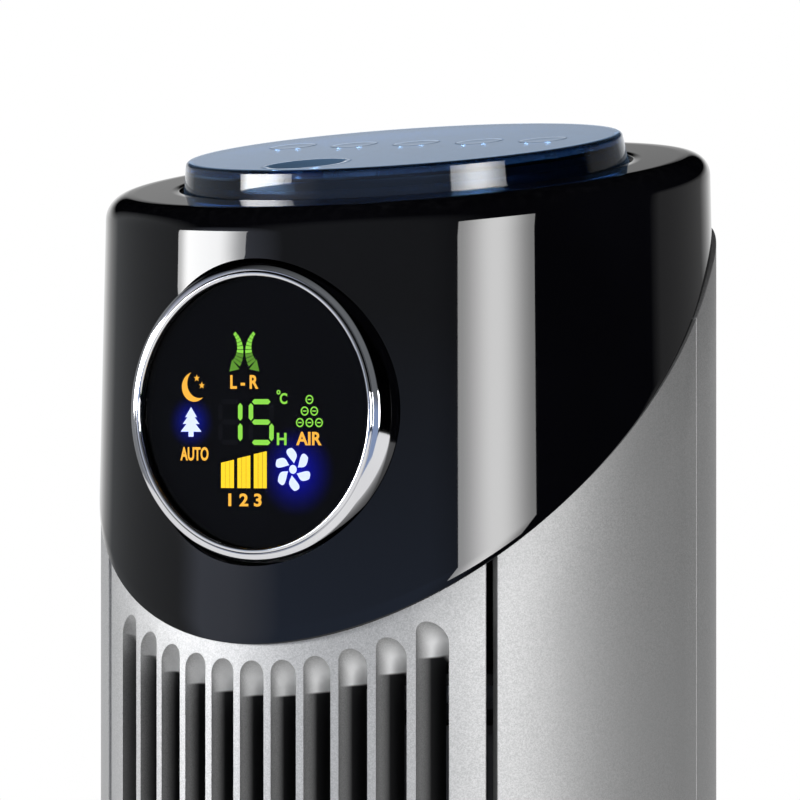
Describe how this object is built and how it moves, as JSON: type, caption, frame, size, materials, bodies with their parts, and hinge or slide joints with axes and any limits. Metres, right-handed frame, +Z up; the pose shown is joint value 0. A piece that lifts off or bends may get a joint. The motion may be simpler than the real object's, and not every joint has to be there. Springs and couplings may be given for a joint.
{
  "type": "tower fan",
  "caption": "Upright tower fan: oval silver column with a slotted front, slanted gloss head with round display and tinted key panel, turning on a round base.",
  "frame": {"origin": "middle of the floor under the round base", "axes": "+Z up, -Y to the front with the display and outlet, +X to the right seen from the front"},
  "size_m": [0.29, 0.29, 0.9155],
  "materials": {
    "gloss_black": "deep gloss black moulded plastic",
    "silver_paint": "fine metallic silver paint on plastic",
    "tinted_lens": "clear blue tinted plastic",
    "bright_ring": "bright plating",
    "smoked_window": "dark smoked clear plastic",
    "light_block": "dark block with lit symbols",
    "dark_plastic": "fine-grained black plastic",
    "impeller_plastic": "glass-filled dark grey plastic",
    "white_plastic": "natural slippery plastic",
    "rubber": "soft black rubber",
    "steel": "bright steel",
    "copper": "enamelled copper wire",
    "bronze": "sintered bronze",
    "cast_alloy": "cast alloy",
    "board_green": "green circuit board",
    "switch_black": "small black switch bodies",
    "wire_sleeve": "black sleeve over wires"
  },
  "bodies": {
    "base": {"base_shell": "gloss_black", "base_plate": "dark_plastic", "rubber_feet": "rubber", "base_screws": "steel", "cord_gland": "rubber", "swing_ring_gear": "white_plastic", "slide_ring": "white_plastic"},
    "column": {"column_foot": "dark_plastic", "pivot_retainer": "dark_plastic", "swing_motor": "dark_plastic", "lower_collar": "gloss_black", "front_grille": "silver_paint", "upright_left": "dark_plastic", "upright_right": "dark_plastic", "side_panel_left": "silver_paint", "side_panel_right": "silver_paint", "rear_housing": "silver_paint", "lower_plate": "dark_plastic", "upper_plate": "dark_plastic", "scroll_duct": "dark_plastic", "vortex_tongue": "dark_plastic", "top_bush": "bronze", "bearing_rubber": "rubber", "motor_stator": "steel", "motor_windings": "copper", "motor_bells": "cast_alloy", "motor_bushes": "bronze", "motor_mounts": "rubber", "motor_screws": "steel", "run_capacitor": "dark_plastic", "wire_loom": "wire_sleeve", "head_shell": "gloss_black", "column_screws": "steel", "board_screws": "steel", "display_bezel": "bright_ring", "display_window": "smoked_window", "display_light": "light_block", "display_board": "board_green", "display_holder": "dark_plastic", "top_lens": "tinted_lens", "key_tray": "dark_plastic", "switch_board": "board_green", "tact_switches": "switch_black", "power_board": "board_green", "power_parts": "dark_plastic", "ion_module": "dark_plastic"},
    "rotor": {"impeller": "impeller_plastic", "motor_shaft": "steel", "top_shaft": "steel", "motor_rotor": "steel"},
    "pinion": {"drive_pinion": "white_plastic", "pinion_shaft": "steel"},
    "key_power": {"key_power": "tinted_lens"},
    "key_speed": {"key_speed": "tinted_lens"},
    "key_mode": {"key_mode": "tinted_lens"},
    "key_swing": {"key_swing": "tinted_lens"},
    "key_timer": {"key_timer": "tinted_lens"},
    "key_ion": {"key_ion": "tinted_lens"}
  },
  "joints": [
    {"name": "swing", "type": "hinge", "parent": "base", "child": "column", "pos_m": [0, 0, 0], "axis": [0, 0, 1], "range_deg": [-35, 35]},
    {"name": "impeller_spin", "type": "hinge", "parent": "column", "child": "rotor", "pos_m": [0.008, 0.012, 0.2], "axis": [0, 0, 1], "continuous": true},
    {"name": "pinion_spin", "type": "hinge", "parent": "column", "child": "pinion", "pos_m": [0.02294, 0.04315, 0.045], "axis": [0, 0, 1], "range_deg": [-141, 141]},
    {"name": "press_power", "type": "slide", "parent": "column", "child": "key_power", "axis": [0, -0.1564, 0.9877], "range_m": [-0.0008, 0], "stiffness_N_per_m": 600, "springref_m": 0.0003},
    {"name": "press_speed", "type": "slide", "parent": "column", "child": "key_speed", "axis": [0, -0.1564, 0.9877], "range_m": [-0.0008, 0], "stiffness_N_per_m": 600, "springref_m": 0.0003},
    {"name": "press_mode", "type": "slide", "parent": "column", "child": "key_mode", "axis": [0, -0.1564, 0.9877], "range_m": [-0.0008, 0], "stiffness_N_per_m": 600, "springref_m": 0.0003},
    {"name": "press_swing", "type": "slide", "parent": "column", "child": "key_swing", "axis": [0, -0.1564, 0.9877], "range_m": [-0.0008, 0], "stiffness_N_per_m": 600, "springref_m": 0.0003},
    {"name": "press_timer", "type": "slide", "parent": "column", "child": "key_timer", "axis": [0, -0.1564, 0.9877], "range_m": [-0.0008, 0], "stiffness_N_per_m": 600, "springref_m": 0.0003},
    {"name": "press_ion", "type": "slide", "parent": "column", "child": "key_ion", "axis": [0, -0.1564, 0.9877], "range_m": [-0.0008, 0], "stiffness_N_per_m": 600, "springref_m": 0.0003}
  ],
  "couplings": [
    {"joint": "pinion_spin", "follows": "swing", "ratio": 4}
  ]
}
